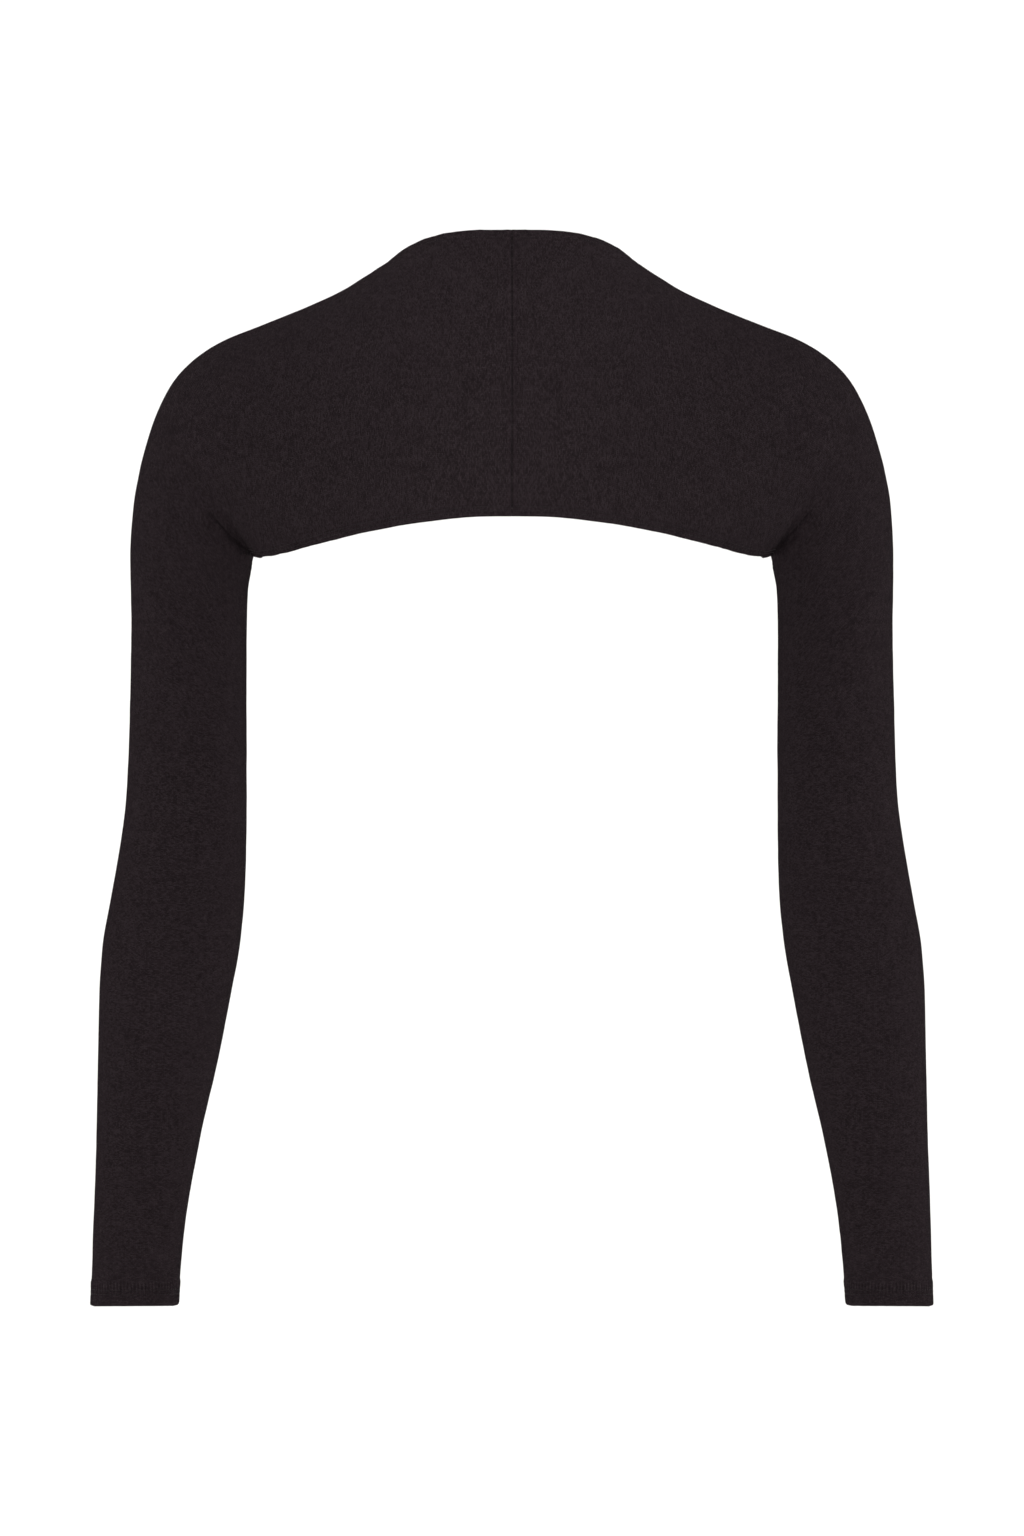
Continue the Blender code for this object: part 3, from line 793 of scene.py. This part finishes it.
def jerseyKnit(name, reverse):
    # Black single jersey of cotton with a little elastane, knitted on a circular machine: small
    # V stitches in upright columns give a matt, faintly mottled face and loose fibres lighten
    # its rims. The reverse shows rows of loop heads.
    look = knitLook
    material = bpy.data.materials.new(name)
    material.use_nodes = True
    tree = material.node_tree
    shader = tree.nodes["Principled BSDF"]
    knit = addNode(tree, "ShaderNodeUVMap", {"uv_map": "knit"}).outputs[0]
    parts = addNode(tree, "ShaderNodeSeparateXYZ", {}, {0: knit})
    noises = {}
    for key, (scale, detail) in look["noises"].items():
        noises[key] = addNode(tree, "ShaderNodeTexNoise", {}, {
            "Vector": knit, "Scale": scale, "Detail": detail,
            "Roughness": look["noiseRoughness"]}).outputs[0]

    # yarn paths, with the small wander of real stitches
    wander = calc(tree, "MULTIPLY_ADD", noises["wander"], 2 * look["wander"], -look["wander"])
    across = calc(tree, "MULTIPLY_ADD", parts.outputs[0], 1000 / look["wale"], wander)
    rows = calc(tree, "MULTIPLY_ADD", parts.outputs[1], 1000 / look["course"], wander)
    fromMiddle = calc(tree, "ABSOLUTE", calc(tree, "SUBTRACT", calc(tree, "FRACT", across), 0.5))
    slant = 2 * look["legSlant"] * (look["reverse"]["slant"] if reverse else 1.0)
    slanted = calc(tree, "MULTIPLY_ADD", fromMiddle, slant, rows)
    inRow = calc(tree, "SINE", calc(tree, "MULTIPLY", calc(tree, "FRACT", slanted), math.pi))
    inLeg = calc(tree, "SINE", calc(tree, "MULTIPLY", fromMiddle, 2 * math.pi))
    if reverse:
        inLeg = calc(tree, "MULTIPLY_ADD", inLeg, *look["reverse"]["legs"])
    loop = calc(tree, "POWER", calc(tree, "MULTIPLY", inRow, inLeg), look["loopPower"])

    # each leg takes the dye and the light a little differently
    cell = addNode(tree, "ShaderNodeCombineXYZ", {}, {
        0: calc(tree, "FLOOR", calc(tree, "MULTIPLY", across, 2.0)),
        1: calc(tree, "FLOOR", slanted)}).outputs[0]
    perLeg = addNode(tree, "ShaderNodeTexWhiteNoise", {"noise_dimensions": "2D"},
                     {"Vector": cell}).outputs["Value"]
    # painted shade: the tone follows the loop's relief, so it is darker in the gaps between
    # stitches where shade falls; the V pattern itself is the knit's own
    tone = calc(tree, "MULTIPLY_ADD", loop, *look["tones"]["loop"])
    tone = calc(tree, "MULTIPLY_ADD", perLeg, look["tones"]["leg"], tone)
    for key, share in look["noiseTones"].items():
        tone = calc(tree, "MULTIPLY_ADD", calc(tree, "SUBTRACT", noises[key], 0.5), share, tone)

    # the cut edge inside the cuff shows through as a band of fine upright ribs
    inside, halfWidth, pitch = (size * mm for size in look["ribs"])
    fromBand = calc(tree, "SUBTRACT", parts.outputs[0], cuffPlace * mm - inside)
    fromBand = calc(tree, "ABSOLUTE", fromBand)
    band = calc(tree, "MULTIPLY_ADD", fromBand, -1 / halfWidth, 1.0, limit=True)
    ribs = calc(tree, "SINE", calc(tree, "MULTIPLY", parts.outputs[1], math.tau / pitch))
    ribs = calc(tree, "MULTIPLY", ribs, band)
    tone = calc(tree, "MULTIPLY_ADD", ribs, look["tones"]["rib"], tone)
    ramp = addNode(tree, "ShaderNodeValToRGB", {}, {0: tone})
    ramp.color_ramp.elements[0].color = linearColour(look["deep"])
    ramp.color_ramp.elements[1].color = linearColour(look["high"])
    ramp.color_ramp.elements.new(0.5).color = linearColour(look["middle"])
    tree.links.new(ramp.outputs[0], shader.inputs["Base Color"])

    height = loop
    for key, relief in (("fuzz", noises["fuzz"]), ("leg", perLeg), ("rib", ribs)):
        height = calc(tree, "MULTIPLY_ADD", relief, look["heights"][key], height)
    strength, distance = look["bump"]
    bump = addNode(tree, "ShaderNodeBump", {}, {
        "Strength": strength, "Distance": distance, "Height": height})
    tree.links.new(bump.outputs[0], shader.inputs["Normal"])
    shader.inputs["Roughness"].default_value = look["roughness"]
    shader.inputs["Specular IOR Level"].default_value = look["specular"]
    shader.inputs["Sheen Weight"].default_value = look["sheen"]
    shader.inputs["Sheen Roughness"].default_value = look["sheenRoughness"]
    shader.inputs["Sheen Tint"].default_value = linearColour(look["sheenTint"])
    return material


threadLook = {
    "dark": "#0b0809",
    "light": "#181415",
    "fibres": (2600.0, 2.0),  # scale to a metre, and detail
    "plies": (420.0, 1.0),
    "plyTone": 1.4,
    "bump": (0.5, 0.0001),  # strength, and relief in metres
    "roughness": 0.6,
    "specular": 0.05,
}


def spunThread(name):
    # Black spun polyester sewing thread, twisted from three plies: a little smoother than the
    # knit, so that stitches catch thin glints.
    material = bpy.data.materials.new(name)
    material.use_nodes = True
    tree = material.node_tree
    shader = tree.nodes["Principled BSDF"]
    place = addNode(tree, "ShaderNodeTexCoord").outputs["Object"]
    noises = []
    for scale, detail in (threadLook["fibres"], threadLook["plies"]):
        noises.append(addNode(tree, "ShaderNodeTexNoise", {}, {
            "Vector": place, "Scale": scale, "Detail": detail}).outputs[0])
    fibres, plies = noises
    plies = calc(tree, "SUBTRACT", plies, 0.5)
    tone = calc(tree, "MULTIPLY_ADD", plies, threadLook["plyTone"], fibres)
    ramp = addNode(tree, "ShaderNodeValToRGB", {}, {0: tone})
    ramp.color_ramp.elements[0].color = linearColour(threadLook["dark"])
    ramp.color_ramp.elements[1].color = linearColour(threadLook["light"])
    tree.links.new(ramp.outputs[0], shader.inputs["Base Color"])
    strength, distance = threadLook["bump"]
    bump = addNode(tree, "ShaderNodeBump", {}, {
        "Strength": strength, "Distance": distance, "Height": fibres})
    tree.links.new(bump.outputs[0], shader.inputs["Normal"])
    shader.inputs["Roughness"].default_value = threadLook["roughness"]
    shader.inputs["Specular IOR Level"].default_value = threadLook["specular"]
    return material


faceKnit = jerseyKnit("black_jersey_face", False)
reverseKnit = jerseyKnit("black_jersey_reverse", True)
sewingThread = spunThread("black_spun_polyester_thread")
print("materials: made")

# Where the seam allowances lie: up each sleeve on its low side, and down the centre back.
steps = stitching["allowanceSteps"]
lowSide = columnCount // 2
firstPlace = closingPlace + stitching["underarmEnds"][0]
lastPlace = cuffPlace - stitching["underarmEnds"][1]
underarm = [[(row, np.interp(step, gridToEnd[row, :lowSide], range(lowSide))) for step in steps]
            for row in np.nonzero((rowsAlong > firstPlace) & (rowsAlong < lastPlace))[0]]
backStart = finishing["hem"]["depth"] - stitching["backReach"]
centreBack = [[(np.interp(step, rowsAlong, range(rowCount)), column) for step in steps]
              for column in np.nonzero(fromEdge[0] > backStart)[0]]

for side in ("left", "right"):
    outer, inner = halfSurfaces(side)
    half = clothHalf(side, outer, inner)
    extras = [edgeStitching(side, outer, inner)]
    extras += seamAllowance(side + "_underarm_allowance", inner, underarm, mirrored=side == "right")
    if side == "left":
        extras += seamAllowance("back_seam_allowance", inner, centreBack,
                                overlap=stitching["backOverlap"])
    for piece in [half] + extras:
        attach(piece, "root")
    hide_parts(side + "_half")


# Stage: one pale floor that curves up into a wall all round, so that every view has the
# same plain ground. Sizes in metres.
stageLook = {
    "floorZ": -1.7,
    "radius": 14.0,
    "cove": 3.0,
    "wall": 8.0,
    "coveSteps": 12,
    "turnSteps": 96,
    "paint": "#f7f6f5",
    "roughness": 0.95,
}


def paleStage():
    look = stageLook
    ground = bmesh.new()
    turns = [math.radians(90 * k / look["coveSteps"]) for k in range(look["coveSteps"] + 1)]
    cove = [(look["radius"] - look["cove"] * (1 - math.sin(t)), look["cove"] * (1 - math.cos(t)))
            for t in turns]
    corners = [(0.0, 0.0)] + cove + [(look["radius"], look["wall"])]
    profile = [ground.verts.new((x, 0, look["floorZ"] + z)) for x, z in corners]
    edges = [ground.edges.new(pair) for pair in zip(profile, profile[1:])]
    bmesh.ops.spin(ground, geom=profile + edges, cent=(0, 0, 0), axis=(0, 0, 1), angle=math.tau,
                   steps=look["turnSteps"], use_merge=True)
    bmesh.ops.remove_doubles(ground, verts=ground.verts, dist=1e-5)
    bmesh.ops.recalc_face_normals(ground, faces=ground.faces)
    mesh = bpy.data.meshes.new("pale_stage")
    ground.to_mesh(mesh)
    ground.free()
    mesh.shade_smooth()
    stage = bpy.data.objects.new("pale_stage", mesh)
    bpy.context.scene.collection.objects.link(stage)
    # Matt white wall paint, rolled on: it spreads light evenly and shows no gloss
    paint = bpy.data.materials.new("matt_white_paint")
    paint.use_nodes = True
    shader = paint.node_tree.nodes["Principled BSDF"]
    shader.inputs["Base Color"].default_value = linearColour(look["paint"])
    shader.inputs["Roughness"].default_value = look["roughness"]
    shader.inputs["Specular IOR Level"].default_value = 0.0
    mesh.materials.append(paint)


paleStage()
print("stage: set")

# Light: an even pale surround, soft lights above and below the back, one on each side and one
# for the fronts, with narrow ones on the neck edge from above and on the hem from below. Places
# and sizes are in metres, power in watts and cones in degrees.
surroundStrength = 1.25
lamps = {
    "top": {"place": (-0.3, 1.2, 1.4), "aim": (0.0, 0.08, 0.0), "size": 0.8, "power": 15},
    "low": {"place": (0.0, 1.6, -1.5), "aim": (0.0, 0.0, -0.2), "size": 1.0, "power": 8},
    "leftSide": {"place": (2.2, 0.7, -0.5), "aim": (0.2, 0.0, -0.35), "size": 1.2, "power": 38},
    "rightSide": {"place": (-2.2, 0.7, -0.5), "aim": (-0.2, 0.0, -0.35), "size": 1.2, "power": 40},
    "fronts": {"place": (0.3, -2.8, 0.8), "aim": (0.0, 0.0, -0.25), "size": 1.6, "power": 50},
    "neck": {"place": (0.0, 1.2, 0.9), "aim": (0.0, 0.085, 0.0), "size": 0.2, "power": 42,
             "cone": 14},
    "hem": {"place": (0.0, 1.1, -1.0), "aim": (0.0, 0.085, -0.14), "size": 0.2, "power": 40,
            "cone": 12},
}
for name, lamp in lamps.items():
    light = bpy.data.lights.new(name, "SPOT" if "cone" in lamp else "AREA")
    light.energy = lamp["power"]
    if "cone" in lamp:
        light.spot_size = math.radians(lamp["cone"])
        light.spot_blend = 1.0
        light.shadow_soft_size = lamp["size"] / 2
    else:
        light.size = lamp["size"]
    holder = bpy.data.objects.new(name, light)
    holder.location = lamp["place"]
    towards = Vector(lamp["aim"]) - holder.location
    holder.rotation_euler = towards.to_track_quat("-Z", "Y").to_euler()
    holder.visible_camera = False
    bpy.context.scene.collection.objects.link(holder)

world = bpy.data.worlds.new("surround")
world.use_nodes = True
background = world.node_tree.nodes["Background"]
background.inputs["Color"].default_value = linearColour("#ffffff")
background.inputs["Strength"].default_value = surroundStrength
bpy.context.scene.world = world
bpy.context.scene.view_settings.view_transform = "Standard"

# Camera: level with the middle of the shrug, straight behind it. The lens and the sensor are in
# millimetres, the place in metres and the turn in degrees.
cameraView = {"lens": 200, "sensor": 36, "place": (0, 5.12, -0.2868), "turn": (90, 0, 180)}
cameraData = bpy.data.cameras.new("camera")
cameraData.lens = cameraView["lens"]
cameraData.sensor_width = cameraView["sensor"]
camera = bpy.data.objects.new("camera", cameraData)
camera.location = cameraView["place"]
camera.rotation_euler = [math.radians(angle) for angle in cameraView["turn"]]
bpy.context.scene.collection.objects.link(camera)
bpy.context.scene.camera = camera
print("light and camera: set")
